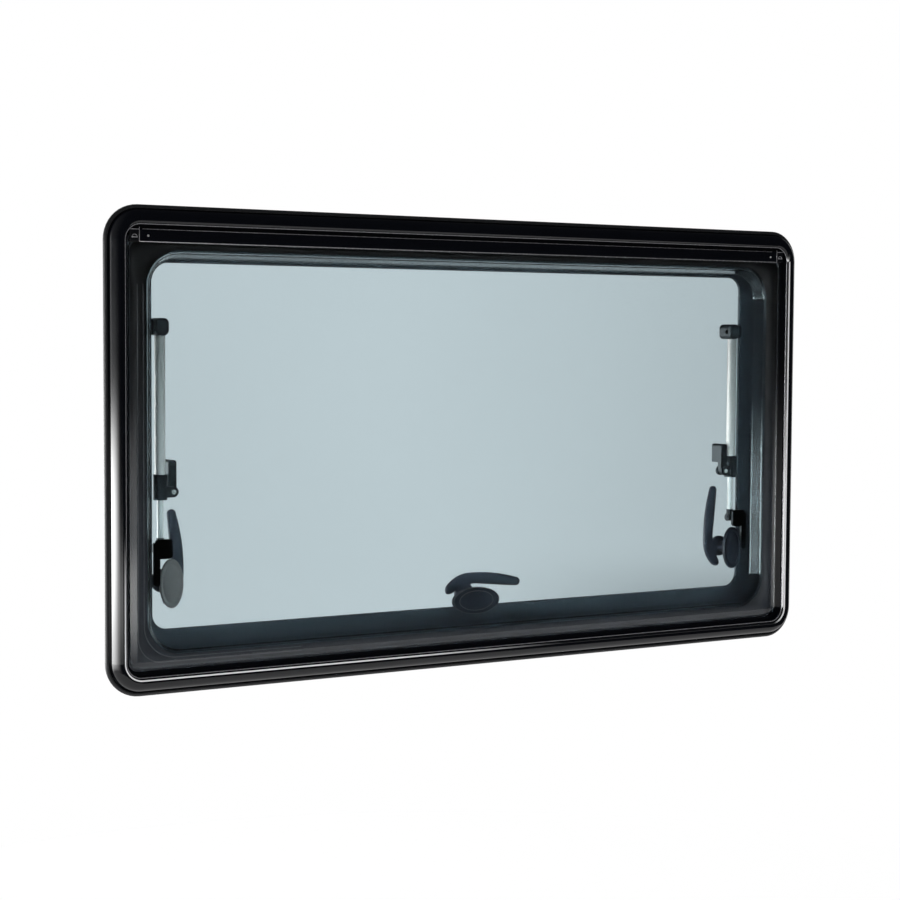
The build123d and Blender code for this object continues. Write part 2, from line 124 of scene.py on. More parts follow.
class WindowFinish(bpy.types.PropertyGroup):
    """Colours and gloss of the window's materials."""

    coat: colour("Frame coat", "Black coat of the frame and hinge", (0.002, 0.0025, 0.004))
    coat_gloss: share("Coat roughness", "Roughness of the frame coat", 0.1)
    # The frame inside colour is painted light: a greyer, lit tone of the same black coat behind the sash.
    inside: colour("Frame inside", "Satin coat of the frame behind the sash", (0.055, 0.06, 0.07))
    lip: colour("Lip rubber", "Rubber lip round the rim", (0.012, 0.0125, 0.014))
    seal: colour("Seal rubber", "Black rubber behind the sash", (0.05, 0.053, 0.06))
    tint: colour("Pane tint", "Light that passes one acrylic sheet", (0.757, 0.828, 0.852))
    trim: colour("Trim", "Grained plastic of the interior frame", SLOT_COLOUR["trim_plastic"])
    fitting: colour("Fittings", "Satin plastic of the stays", SLOT_COLOUR["fitting_plastic"])
    handle: colour("Handles", "Satin plastic of the latch handles", (0.045, 0.046, 0.06))
    margin: colour("Bonded margin", "Dark margin where the sheets are bonded", (0.0085, 0.0095, 0.0135))
    lips: colour("Seal lips", "Paler lips of the seal that show in the margin", (0.05, 0.052, 0.058))
    # The rim crest colour is a painted highlight: the pale line the crest shows where it catches the light.
    crest: colour("Rim crest", "Worn crest of the rim's bottom and right side", (0.9, 0.9, 0.91))
    seat: colour("Latch seats", "Dark plastic of the oval latch seats", (0.023, 0.024, 0.033))
    # The left latch seat colour is painted light: a lit grey tone of the same dark seat plastic.
    seat_left_lit: colour("Left latch seat", "Greyer plastic of the left latch seat", (0.19, 0.158, 0.15))
    # The edge colour is a painted highlight: the pale tone of the beads along the rim, hinge and end cap
    # edges.
    edge: colour("Worn edges", "Bright worn edges of the rim and hinge profiles", (0.26, 0.26, 0.275))
    cap: colour("End caps", "Black plastic of the hinge's end caps", (0.004, 0.0045, 0.006))
    tube: colour("Stay tube", "Anodised aluminium", (0.93, 0.81, 0.75))
    rod: colour("Stay rod", "Ground steel", (1.0, 0.89, 0.83))
    pin: colour("Pins and screws", "Satin steel", SLOT_COLOUR["pin_steel"])


class WindowDetail(bpy.types.PropertyGroup):
    """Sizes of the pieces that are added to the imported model."""

    screw_radius: length("Screw head", "Radius of a screw head on the interior frame", 3.6 * MM)
    screw_rise: length("Screw rise", "Height of a screw head above its seat", 1.9 * MM)
    screw_pitch: length("Screw pitch", "Largest distance between screws along the interior frame", 125 * MM)
    cap_hook_radius: length("End cap hook", "Radius of the hinge hook that shows in an end cap", 2.4 * MM)
    lock_screw_radius: length("Lock screw", "Radius of the screw that locks the hinge strip", 1.0 * MM)
    lock_screw_inset: length("Lock screw inset", "Distance of the lock screw from the strip end", 8.4 * MM)
    # The edge bead is the radius of the painted edge highlights.
    edge_bead: length("Edge wear", "Radius of the worn edge of the rim and the hinge profiles", 0.5 * MM)
    rim_inner_edge: length("Rim inner edge", "Inset of the rim's inner edge from its outside", 14.2 * MM)
    # This inset places the painted crest highlight.
    rim_crest: length("Rim crest", "Inset of the rim's worn crest from its outside", 12.0 * MM)
    margin_side: length("Bonded margin, sides", "Width of the bonded margin at the sides", 16.8 * MM)
    margin_top: length("Bonded margin, top", "Width of the bonded margin at the top", 8.8 * MM)
    margin_bottom: length("Bonded margin, bottom", "Width of the bonded margin at the bottom", 10.6 * MM)
    rivet_radius: length("Clamp rivet", "Radius of the hollow rivet in a stay clamp", 2.2 * MM)
    seat_overhang: length("Seat overhang", "Extra half length of the bottom latch's seat", 4.5 * MM)
    handle_skin: length("Handle skin", "Grid size of the moulded handle's skin", 0.5 * MM)


class WindowStage(bpy.types.PropertyGroup):
    """Camera, floor and light."""

    camera_place: bpy.props.FloatVectorProperty(
        name="Camera place",
        description="Where the camera stands",
        default=(-0.98912, -1.60413, 0.31166),
        size=3,
        subtype="TRANSLATION",
        unit="LENGTH",
    )
    camera_turn: bpy.props.FloatVectorProperty(
        name="Camera turn",
        description="Pitch above the horizon, roll and turn to the right of the camera",
        default=tuple(np.radians((-3.311, 0.3238, 30.640))),
        size=3,
        subtype="EULER",
        unit="ROTATION",
    )
    lens: bpy.props.FloatProperty(
        name="Lens", description="Focal length on a 36 mm sensor", default=76.245, min=1.0, unit="CAMERA"
    )
    floor_drop: length("Floor drop", "Distance of the floor below the window", 0.45)
    floor_radius: length("Floor radius", "Radius of the pale floor", 1.2)
    ambient: share("Ambient", "Strength of the light from all round", 0.75)
    through_pane: share("Ambient through the pane", "Strength of the light that enters by the pane", 6.5)
    mirror_front: share("Dark room", "Strength of what glossy surfaces mirror in front of the wall", 0.012)
    left_window: share("Left window", "Strength of the low window at the left that the rim mirrors", 26.0)
    front_window: share("Front window", "Strength of the narrow window in front that the rim mirrors", 3.5)


# Node building


class Value:
    """A number socket; Python operators on it add Math nodes to its tree."""

    def __init__(self, graph, socket):
        self.graph = graph
        self.socket = socket

    def math(self, operation, first, second):
        return self.graph.node("Math", {"operation": operation}, {"Value": first, "Value_001": second})

    def __add__(self, other):
        return self.math("ADD", self, other)

    def __radd__(self, other):
        return self.math("ADD", other, self)

    def __sub__(self, other):
        return self.math("SUBTRACT", self, other)

    def __rsub__(self, other):
        return self.math("SUBTRACT", other, self)

    def __mul__(self, other):
        return self.math("MULTIPLY", self, other)

    def __rmul__(self, other):
        return self.math("MULTIPLY", other, self)

    def at_least(self, low):
        return self.math("MAXIMUM", self, low)

    def swing(self, size):
        """A value from 0 to 1 as a swing of a size about zero."""
        return size * (self - 0.5)


class Graph:
    """The node tree of a material or of the world, filled through one method."""

    def __init__(self, owner):
        owner.use_nodes = True
        self.owner = owner
        self.tree = owner.node_tree
        self.tree.nodes.clear()

    def node(self, kind, settings=(), inputs=(), output=0):
        """Adds a node: its settings first, then the values or links of its sockets by identifier."""
        made = self.tree.nodes.new("ShaderNode" + kind)
        for key, value in dict(settings).items():
            setattr(made, key, value)
        sockets = {socket.identifier: socket for socket in made.inputs}
        for key, value in dict(inputs).items():
            if isinstance(value, Value):
                self.tree.links.new(value.socket, sockets[key])
            else:
                sockets[key].default_value = value
        return Value(self, made.outputs[output]) if len(made.outputs) else None

    def place(self, scale=(1.0, 1.0, 1.0)):
        """Object coordinates in metres, stretched by a scale."""
        at = self.node("TexCoord", output="Object")
        return self.node("Mapping", {"vector_type": "POINT"}, {"Vector": at, "Scale": scale})

    def along(self, axis):
        """Object coordinate along X, Y or Z, in metres."""
        return self.node("SeparateXYZ", {}, {"Vector": self.place()}, output=axis)

    def noise(self, size, detail=2.0, scale=(1.0, 1.0, 1.0)):
        """Noise from 0 to 1 with grains of a size in metres."""
        settings = {"noise_dimensions": "3D", "normalize": True}
        inputs = {"Vector": self.place(scale), "Scale": 1.0 / size, "Detail": detail, "Roughness": 0.55}
        return self.node("TexNoise", settings, inputs)

    def between(self, factor, first, last):
        """Colour that goes from the first to the last with a factor."""
        inputs = {"Factor_Float": factor, "A_Color": first, "B_Color": last}
        return self.node("Mix", {"data_type": "RGBA"}, inputs, output=2)

    def tones(self, factor, tone, first, last):
        """One tone that goes from a first to a last multiple of itself with a factor."""
        return self.between(factor, shade(tone, first), shade(tone, last))

    def step(self, value, low, high):
        """Smooth step from 0 to 1 as a value passes from low to high."""
        inputs = {"Value": value, "From Min": low, "From Max": high}
        return self.node("MapRange", {"interpolation_type": "SMOOTHSTEP"}, inputs)

    def span(self, value, opens, closes):
        """Smooth step up over a first range, times a smooth step down over a second."""
        return self.step(value, *opens) * (1.0 - self.step(value, *closes))

    def bump(self, height, depth, strength):
        """Normal of a relief of a depth in metres."""
        return self.node("Bump", {}, {"Height": height, "Distance": depth, "Strength": strength})

    def close(self, shader, kind="Material"):
        """Ends the tree with a shader, and gives back the material or world."""
        self.node("Output" + kind, {}, {"Surface": shader})
        return self.owner

    def close_principled(self, surface):
        """Ends the tree with one Principled shader whose sockets a table gives."""
        return self.close(self.node("BsdfPrincipled", {}, surface))


def shade(tone, factor):
    """A colour with alpha, darkened or lightened by a factor."""
    return (*(min(1.0, factor * part) for part in tone), 1.0)


def finish_named(name):
    return Graph(bpy.data.materials.new(name))


# Finishes


def coat_finish(look):
    """Gloss black coat: slow drift of tone and gloss, fine orange peel. Behind the sash it turns rougher, and
    its colour is painted greyer as painted light."""
    graph = finish_named("frame_coat")
    satin_roughness = 0.3
    drift = graph.noise(size=0.09, detail=3.0)
    peel = graph.noise(size=1.3 * MM)
    behind = graph.step(graph.along("Y"), low=0.5 * MM, high=2.5 * MM)
    gloss = graph.tones(drift, look.coat, first=0.7, last=1.3)
    # Painted light: behind the sash the same coat gets a greyer, lit tone.
    satin_lit = graph.tones(drift, look.inside, first=0.8, last=1.2)
    return graph.close_principled({
        "Base Color": graph.between(behind, gloss, satin_lit),
        "Roughness": look.coat_gloss + drift.swing(0.04) + satin_roughness * behind,
        "Normal": graph.bump(peel, depth=0.02 * MM, strength=0.25),
        "IOR": PLASTIC_IOR,
    })


def rubber_finish(name, tone, roughness):
    """Matt rubber: fine dusty speckle over a slow drift of tone."""
    graph = finish_named(name)
    dust = graph.noise(size=2.2 * MM, detail=4.0)
    drift = graph.noise(size=0.05)
    return graph.close_principled({
        "Base Color": graph.tones(0.5 * dust + 0.5 * drift, tone, first=0.75, last=1.25),
        "Roughness": roughness + dust.swing(0.12),
        "Normal": graph.bump(dust, depth=0.06 * MM, strength=0.4),
        "IOR": PLASTIC_IOR,
    })


def acrylic_finish(look):
    """Tinted clear acrylic: the tint drifts a little across the sheet, and the surface is faintly wavy."""
    graph = finish_named("tinted_acrylic")
    polish = 0.008
    cloud = graph.noise(size=0.35, detail=1.0)
    wave = graph.noise(size=0.06, detail=1.0)
    return graph.close_principled({
        "Base Color": graph.tones(cloud, look.tint, first=0.975, last=1.02),
        "Roughness": polish + polish * cloud,
        "Normal": graph.bump(wave, depth=0.05 * MM, strength=0.2),
        "IOR": ACRYLIC_IOR,
        "Transmission Weight": 1.0,
    })


def moulding_finish(name, tone, grain, depth, roughness):
    """Moulded plastic: spark-eroded grain of a size and depth, slight drift of gloss."""
    graph = finish_named(name)
    fine = graph.noise(size=grain, detail=3.0)
    drift = graph.noise(size=0.03)
    return graph.close_principled({
        "Base Color": graph.tones(0.6 * fine + 0.4 * drift, tone, first=0.8, last=1.25),
        "Roughness": roughness + drift.swing(0.1) + fine.swing(0.08),
        "Normal": graph.bump(fine, depth=depth, strength=0.6),
        "IOR": PLASTIC_IOR,
        "Specular IOR Level": 0.25,
    })


def crest_highlight_finish(look):
    """Painted highlight along the rim's crest: a pale line, with the black coat where no highlight is
    painted, on the right half of the bottom and higher up the left side."""
    graph = finish_named("crest_highlight_paint")
    scuff = graph.noise(size=6 * MM, detail=4.0, scale=(0.2, 1.0, 0.2))
    across = graph.along("X")
    # Painted highlight: the pale line shows along the left part of the bottom, low on the left side and on
    # the right side.
    off_right = 1.0 - graph.step(across, low=0.365, high=0.375)
    no_highlight_below = graph.step(across, low=-0.12, high=0.1) * off_right
    no_highlight_left = graph.step(graph.along("Z"), low=0.07, high=0.14) * off_right
    return graph.close_principled({
        "Base Color": graph.between(no_highlight_below + no_highlight_left, shade(look.crest, 1.0), shade(look.coat, 1.0)),
        "Roughness": 0.25 + 0.2 * scuff,
        "Normal": graph.bump(scuff, depth=0.02 * MM, strength=0.3),
    })


def margin_finish(look):
    """Dark bonded margin, cloudy, with painted shade: black at the top, paler towards the bottom."""
    graph = finish_named("bonded_margin")
    cloud = graph.noise(size=0.02, detail=3.0)
    # Painted shade: the margin darkens towards the top.
    black = graph.step(graph.along("Z") + cloud.swing(0.06), low=0.08, high=0.34)
    return graph.close_principled({
        "Base Color": graph.tones(black, look.margin, first=1.4, last=0.25),
        "Roughness": 0.45 + 0.2 * cloud,
        "Normal": graph.bump(cloud, depth=0.02 * MM, strength=0.3),
    })


def drawn_finish(name, tone, metal, roughness, streak, top_shade=1.0):
    """Drawn metal: streaks along the upright axis, each under a millimetre wide. Towards the top its tone is
    darkened by a factor, a painted shade."""
    graph = finish_named(name)
    darkest = 0.92
    lightest = 1.06
    lines = graph.noise(size=streak, detail=3.0, scale=(1.0, 1.0, 0.01))
    drift = graph.noise(size=0.04)
    # Painted shade: the tone darkens towards the top.
    top_shade_mask = graph.step(graph.along("Z"), low=0.16, high=0.34)
    unshaded = graph.tones(lines, tone, darkest, lightest)
    top_shaded = graph.tones(lines, tone, darkest * top_shade, lightest * top_shade)
    return graph.close_principled({
        "Base Color": graph.between(top_shade_mask, unshaded, top_shaded),
        "Metallic": metal,
        "Roughness": roughness + lines.swing(0.1) + drift.swing(0.06),
        "Normal": graph.bump(lines, depth=0.02 * MM, strength=0.3),
    })


def steel_finish(name, tone, metal):
    """Satin steel of pins and rivets, with faint stains. It also gives the painted edge highlights their pale
    tone.
    """
    graph = finish_named(name)
    stain = graph.noise(size=1.5 * MM, detail=4.0)
    return graph.close_principled({
        "Base Color": graph.tones(stain, tone, first=0.75, last=1.1),
        "Metallic": metal,
        "Roughness": 0.26 + stain.swing(0.2),
        "Normal": graph.bump(stain, depth=0.02 * MM, strength=0.3),
    })


# Shapes


def corners(node):
    """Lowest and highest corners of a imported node, as arrays."""
    low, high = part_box(node)
    return np.array(low), np.array(high)


def flat_middle(low, high):
    """Middle (x, z) of a box, seen from the front."""
    return (low[0] + high[0]) / 2, (low[2] + high[2]) / 2


def full_turn(count):
    """Evenly spaced angles once round, as one row."""
    return np.linspace(0.0, 2 * pi, count, endpoint=False)[None, :]


def grid_faces(rows, columns):
    """Quads between neighbouring rows and columns of a grid whose last column joins its first."""
    row = np.arange(rows - 1)[:, None] * columns
    column = np.arange(columns)[None, :]
    beside = (column + 1) % columns
    around = (row + column, row + beside, row + columns + beside, row + columns + column)
    return np.stack(around, axis=-1).reshape(-1, 4)


def add_piece(name, grids, material, body):
    """One object from closed grids of points. It welds seams and poles, turns faces outwards, and rides on
    a body."""
    points = np.concatenate([grid.reshape(-1, 3) for grid in grids])
    starts = np.cumsum([0] + [grid.shape[0] * grid.shape[1] for grid in grids[:-1]])
    faces = np.concatenate([grid_faces(*grid.shape[:2]) + start for grid, start in zip(grids, starts)])
    mesh = bpy.data.meshes.new(name)
    mesh.from_pydata(points.tolist(), [], faces.tolist())
    work = bmesh.new()
    work.from_mesh(mesh)
    bmesh.ops.remove_doubles(work, verts=work.verts, dist=WELD_DISTANCE)
    bmesh.ops.recalc_face_normals(work, faces=work.faces)
    work.to_mesh(mesh)
    work.free()
    mesh.materials.append(material)
    mesh.shade_smooth()
    piece = bpy.data.objects.new(name, mesh)
    bpy.context.scene.collection.objects.link(piece)
    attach(piece, body)
    return piece


def dress(nodes, material):
    """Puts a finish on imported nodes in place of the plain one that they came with."""
    for node in nodes:
        materials = frame["nodes"][node].data.materials
        materials.clear()
        materials.append(material)


def screw_head(radius, rise, facing):
    """Pan head with a cross recess, as a grid of rings by angles: the height falls off as the fourth power
    of the radius, and the recess is a ramp of the distance to the nearer arm of the cross. The first two
    rings lie under the seat, so that the head is closed. Facing is +1 or -1 along Y."""
    fall = 0.75
    recess = 0.6
    sunk = 0.1
    arm_half = 0.17
    arm_wall = 0.06
    arm_reach = 0.62
    reach_wall = 0.12
    ring = np.concatenate(([0.0, 1.0], np.linspace(1.0, 0.0, 15)))[:, None]
    angle = full_turn(48)
    across = radius * ring * np.cos(angle)
    up = radius * ring * np.sin(angle)
    arm = np.minimum(np.abs(across), np.abs(up)) / radius
    reach = np.clip((arm_reach - ring) / reach_wall, 0.0, 1.0)
    cut = np.clip((arm_half - arm) / arm_wall, 0.0, 1.0) * reach
    height = rise * (1.0 - fall * ring**4 - recess * cut)
    height[:2] = -sunk * rise
    return np.stack((across, facing * height, up), axis=-1)


def arc(first, middle, last, share_along):
    """Points on the circle through three points, from the first to the last as a share goes from 0 to 1."""
    a, b, c = complex(*first), complex(*middle), complex(*last)
    ratio = (c - a) / (b - a)
    centre = a + (b - a) * (ratio - abs(ratio) ** 2) / (2j * ratio.imag)
    turn_middle = np.angle((b - centre) / (a - centre)) % (2 * pi)
    turn_last = np.angle((c - centre) / (a - centre)) % (2 * pi)
    turn = turn_last if turn_middle < turn_last else turn_last - 2 * pi
    on = centre + (a - centre) * np.exp(1j * turn * share_along)
    return np.stack((on.real, on.imag), axis=-1)


def two_arcs(points, near, far):
    """Edge through five points: an arc through the first three at the near shares of its way, and one through
    the last three at the far shares."""
    return np.concatenate((arc(*points[:3], near), arc(*points[2:], far)))


def bar(spine, half_width, middle, half_depth, power=2.8, columns=40):
    """Bar along a flat spine: each section is a superellipse, |across|^p + |deep|^p = 1, scaled by the half
    width (a vector in the plane of the spine) and by the half depth about a middle depth."""
    angle = full_turn(columns)[..., None]
    across = np.sign(np.cos(angle)) * np.abs(np.cos(angle)) ** (2 / power)
    deep = np.sign(np.sin(angle)) * np.abs(np.sin(angle)) ** (2 / power)
    flat = spine[:, None, :] + half_width[:, None, :] * across
    depth = middle + half_depth[:, None, None] * deep
    return np.concatenate((flat, depth), axis=-1)


def turned(profile, columns=64):
    """Ring turned about the depth axis: each profile point (radius, depth) goes round, and the profile
    closes."""
    loop = np.array((*profile, profile[0]))
    angle = full_turn(columns)
    radius = loop[:, :1]
    depth = np.broadcast_to(loop[:, 1:], (len(loop), columns))
    return np.stack((radius * np.cos(angle), radius * np.sin(angle), depth), axis=-1)


def handle_grids(hand):
    """Latch handle in its own plane, in millimetres: a crescent lever between an outer and an inner edge of
    two arcs each, with a round tip, a turned hub with a bore, and a tongue towards the frame. Depth is
    measured from the wall's outer face. Hand is -1 for a mirrored handle, otherwise 1."""
    middle_depth = 38.5
    half_depth = 3.5
    thinning = 0.25
    heel_share = 0.09
    tip_start = 61.5
    tip_middle = 9.2
    tip_radius = 4.5
    along = np.linspace(0.0, 1.0, 44)
    bend = along[21]
    near = along[:22] / bend
    far = (along[22:] - bend) / (1.0 - bend)
    outer = two_arcs(((-24.0, 4.0), (-12.0, 16.0), (8.0, 21.0), (36.0, 19.3), (tip_start, 13.7)), near, far)
    inner = two_arcs(((-19.0, -2.0), (-6.0, 6.0), (14.0, 9.5), (38.0, 6.9), (tip_start, 4.7)), near, far)
    end = np.linspace(0.0, pi / 2, 14)[1:]
    tip = np.stack((tip_start + tip_radius * np.sin(end), np.full(end.size, tip_middle)), axis=-1)
    tip_half = np.stack((np.zeros(end.size), tip_radius * np.cos(end)), axis=-1)
    heel = np.sin(0.5 * pi * np.clip(along / heel_share, 0.0, 1.0)) ** 0.5
    spine = np.concatenate(((outer + inner) / 2, tip))
    half = np.concatenate(((outer - inner) / 2 * heel[:, None], tip_half))
    depth = half_depth * np.concatenate((heel, np.sqrt(np.cos(end))))
    depth *= 1.0 - thinning * np.concatenate((along**2, np.ones(end.size)))
    lever = bar(spine, half, middle_depth, depth)

    tongue_start = 6.0
    tongue_length = 11.0
    tongue_half_width = 6.0
    tongue_half_depth = 3.4
    rounds = np.linspace(-pi / 2, pi / 2, 25)
    zero = np.zeros(rounds.size)
    run = -tongue_start - tongue_length * (0.5 + 0.5 * np.sin(rounds))
    tongue_half = np.stack((tongue_half_width * np.cos(rounds) ** 0.35, zero), axis=-1)
    tongue_depth = tongue_half_depth * np.cos(rounds) ** 0.3
    tongue = bar(np.stack((zero, run), axis=-1), tongue_half, middle_depth, tongue_depth)

    hub = turned((
        (3.1, 20.4), (4.9, 20.4), (5.5, 21.0), (5.5, 33.0), (6.4, 34.5), (8.6, 35.0), (10.3, 35.6),
        (11.0, 37.0), (11.0, 40.0), (10.3, 41.4), (9.0, 42.0), (7.0, 42.0), (6.4, 41.5), (3.1, 41.5),
    ))
    return [grid * np.array((1.0, hand, 1.0)) for grid in (lever, tongue, hub)]


def oval_seat(half_long, half_wide, columns=72):
    """Oval seat in its own plane, in millimetres: each profile point (share of the radius, depth) goes round
    an ellipse. Its front has a groove between the pad and the rim, and its back is domed."""
    profile = np.array((
        (0.0, 0.3), (0.72, 0.3), (0.76, 0.7), (0.82, 0.7), (0.86, 0.15), (0.97, 0.15),
        (1.0, 0.5), (1.0, 3.6), (0.97, 4.7), (0.88, 5.6), (0.75, 6.0), (0.0, 6.0),
    ))
    angle = full_turn(columns)
    share_out = profile[:, :1]
    along = share_out * half_long * np.cos(angle)
    beside = share_out * half_wide * np.sin(angle)
    return np.stack((along, beside, np.broadcast_to(profile[:, 1:], along.shape)), axis=-1)


def rounded_loop(half_x, half_z, radius, middle, count=24):
    """Points and outward directions round a rectangle about a middle (x, z), whose corners are quarter
    circles."""
    turn = np.concatenate([np.linspace(0.0, pi / 2, count) + quarter * pi / 2 for quarter in range(4)])
    out = np.stack((np.cos(turn), np.sin(turn)), axis=-1)
    corner = np.repeat(np.array(((1, 1), (-1, 1), (-1, -1), (1, -1)), float), count, axis=0)
    path = corner * (half_x - radius, half_z - radius) + radius * out
    return path + middle, out


def oval_loop(middle, half_x, half_z, start=0.0, stop=2 * pi, count=64):
    """Points on an oval about a middle (x, z) between two angles, and its outward directions."""
    angle = np.linspace(start, stop, count, endpoint=stop - start < 2 * pi)
    out = np.stack((half_z * np.cos(angle), half_x * np.sin(angle)), axis=-1)
    path = np.stack((half_x * np.cos(angle), half_z * np.sin(angle)), axis=-1) + middle
    return path, out / np.linalg.norm(out, axis=-1, keepdims=True)


def bead(path, out, y, radius, closed, columns=8):
    """Thin round bead along a flat path at one depth: a circle in the plane of the path's outward direction
    and Y. A closed path joins its start, an open one closes to a point at each end."""
    if closed:
        path = np.concatenate((path, path[:1]))
        out = np.concatenate((out, out[:1]))
        width = np.full(len(path), radius)
    else:
        path = np.concatenate((path[:1], path, path[-1:]))
        out = np.concatenate((out[:1], out, out[-1:]))
        width = np.concatenate(([0.0], np.full(len(path) - 2, radius), [0.0]))
    angle = full_turn(columns)
    across = width[:, None] * np.cos(angle)
    flat = path[:, None, :] + across[:, :, None] * out[:, None, :]
    return np.stack((flat[..., 0], y + width[:, None] * np.sin(angle), flat[..., 1]), axis=-1)


def straight_bead(first, last, y, radius):
    """Bead between two points (x, z)."""
    path = np.array((first, last), float)
    run = (path[1] - path[0]) / np.linalg.norm(path[1] - path[0])
    out = np.array(((-run[1], run[0]),) * 2)
    return bead(path, out, y, radius, closed=False)


def clear_stage():
    """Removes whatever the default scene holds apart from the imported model."""
    kept = set(frame["nodes"].values()) | set(frame["bodies"].values())
    for item in list(bpy.data.objects):
        if item not in kept:
            bpy.data.objects.remove(item)


# Operators


class WINDOW_OT_frame(bpy.types.Operator):
    """Coats the outer frame and the two hinge profiles, and paints highlights along their edges and the rim's
    crest
    """

    bl_idname = "window.frame"
    bl_label = "Frame and Hinge Profiles"

    def execute(self, context):
        look = context.scene.window_finish
        size = context.scene.window_detail
        dress(("outer_frame", "hinge_rail", "sash_hinge_strip"), coat_finish(look))
        # Painted highlights: pale beads along the rim's inner edge and the hinge edges stand in for the light
        # these edges catch.
        edge_highlight = steel_finish("edge_highlight_paint", look.edge, metal=0.3)
        low, high = corners("outer_frame")
        half_x, _, half_z = (high - low) / 2
        middle = flat_middle(low, high)

        edge_corner = 14.8 * MM
        edge_depth = 2.9 * MM
        inset = size.rim_inner_edge
        path, out = rounded_loop(half_x - inset, half_z - inset, edge_corner, middle)
        rim = bead(path, out, low[1] + edge_depth, size.edge_bead, closed=True)
        add_piece("rim_edge_highlight", [rim], edge_highlight, "window")

        # The painted crest highlight runs from a way up the left side, along the bottom and up the right side
        crest_corner = 17.0 * MM
        crest_radius = 0.8 * MM
        left_run = 120 * MM
        inset = size.rim_crest
        path, out = rounded_loop(half_x - inset, half_z - inset, crest_corner, middle)
        lower = np.roll(np.arange(len(path)), -len(path) // 2)[:len(path) // 2 + 1]
        start = path[lower[:1]] + (0.0, left_run)
        path = np.concatenate((start, path[lower]))
        out = np.concatenate((out[lower[:1]], out[lower]))
        crest = bead(path, out, low[1] + crest_radius, crest_radius, closed=False)
        add_piece("rim_crest_highlight", [crest], crest_highlight_finish(look), "window")

        # Painted highlights along the top front edge of the hinge rail and the bottom front edge of the
        # strip.
        low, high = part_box("hinge_rail")
        rail = straight_bead((low.x, high.z), (high.x, high.z), low.y, size.edge_bead)
        low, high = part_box("sash_hinge_strip")
        edge_y = low.y + 0.3 * MM
        edge_z = low.z + 0.2 * MM
        strip = straight_bead((low.x, edge_z), (high.x, edge_z), edge_y, size.edge_bead)
        add_piece("hinge_edge_highlight", [rail, strip], edge_highlight, "window")
        return {"FINISHED"}


class WINDOW_OT_seals(bpy.types.Operator):
    """Finishes the rubber lip round the rim and the seal behind the sash"""

    bl_idname = "window.seals"
    bl_label = "Seals"

    def execute(self, context):
        look = context.scene.window_finish
        dress(("wall_seal",), rubber_finish("lip_rubber", look.lip, roughness=0.3))
        dress(("sash_seal",), rubber_finish("seal_rubber", look.seal, roughness=0.6))
        return {"FINISHED"}


class WINDOW_OT_panes(bpy.types.Operator):
    """Finishes both acrylic sheets of the sash and the dark margin where they are bonded"""

    bl_idname = "window.panes"
    bl_label = "Panes"

    outer_corner = 9.0 * MM
    inner_corner = 33.0 * MM

    def execute(self, context):
        look = context.scene.window_finish
        size = context.scene.window_detail
        dress(("outer_pane", "inner_pane"), acrylic_finish(look))
        low, high = corners("outer_pane")
        half_x, _, half_z = (high - low) / 2
        middle_x, middle_z = flat_middle(low, high)

        # The margin lies inside the outer sheet, just off its back
        edge = 1.5 * MM
        front = high[1] - 0.12 * MM
        back = high[1] - 0.04 * MM
        top = high[2] - size.margin_top
        bottom = low[2] + size.margin_bottom
        outside, _ = rounded_loop(half_x - edge, half_z - edge, self.outer_corner, (middle_x, middle_z))
        clear_middle = (middle_x, (top + bottom) / 2)
        clear_half_x = half_x - size.margin_side
        inside, _ = rounded_loop(clear_half_x, (top - bottom) / 2, self.inner_corner, clear_middle)
        rows = ((outside, front), (inside, front), (inside, back), (outside, back), (outside, front))
        margin = np.stack([np.insert(flat, 1, depth, axis=-1) for flat, depth in rows])
        add_piece("bonded_margin", [margin], margin_finish(look), "window")

        lips = [self.seal_lip(low, high, inset) for inset in (8.0 * MM, 13.5 * MM)]
        pale = rubber_finish("seal_lip_rubber", look.lips, roughness=0.5)
        add_piece("seal_lips", lips, pale, "window")
        return {"FINISHED"}

    def seal_lip(self, low, high, inset):
        """Thin lip down the left side of the margin and round its lower corner, inside the outer sheet."""
        lip_radius = 0.3 * MM
        lip_depth = 0.45 * MM
        below_top = 40 * MM
        bottom_run = 170 * MM
        half_x = (high[0] - low[0]) / 2 - inset
        half_z = (high[2] - low[2]) / 2 - 0.6 * inset
        radius = self.outer_corner + 1.6 * inset
        path, out = rounded_loop(half_x, half_z, radius, flat_middle(low, high))
        corner = slice(len(path) // 2, 3 * len(path) // 4)
        path = path[corner]
        out = out[corner]
        start = (path[0, 0], high[2] - below_top)
        stop = (low[0] + bottom_run, path[-1, 1])
        path = np.concatenate(([start], path, [stop]))
        out = np.concatenate((out[:1], out, out[-1:]))
        return bead(path, out, high[1] - lip_depth, lip_radius, closed=False)


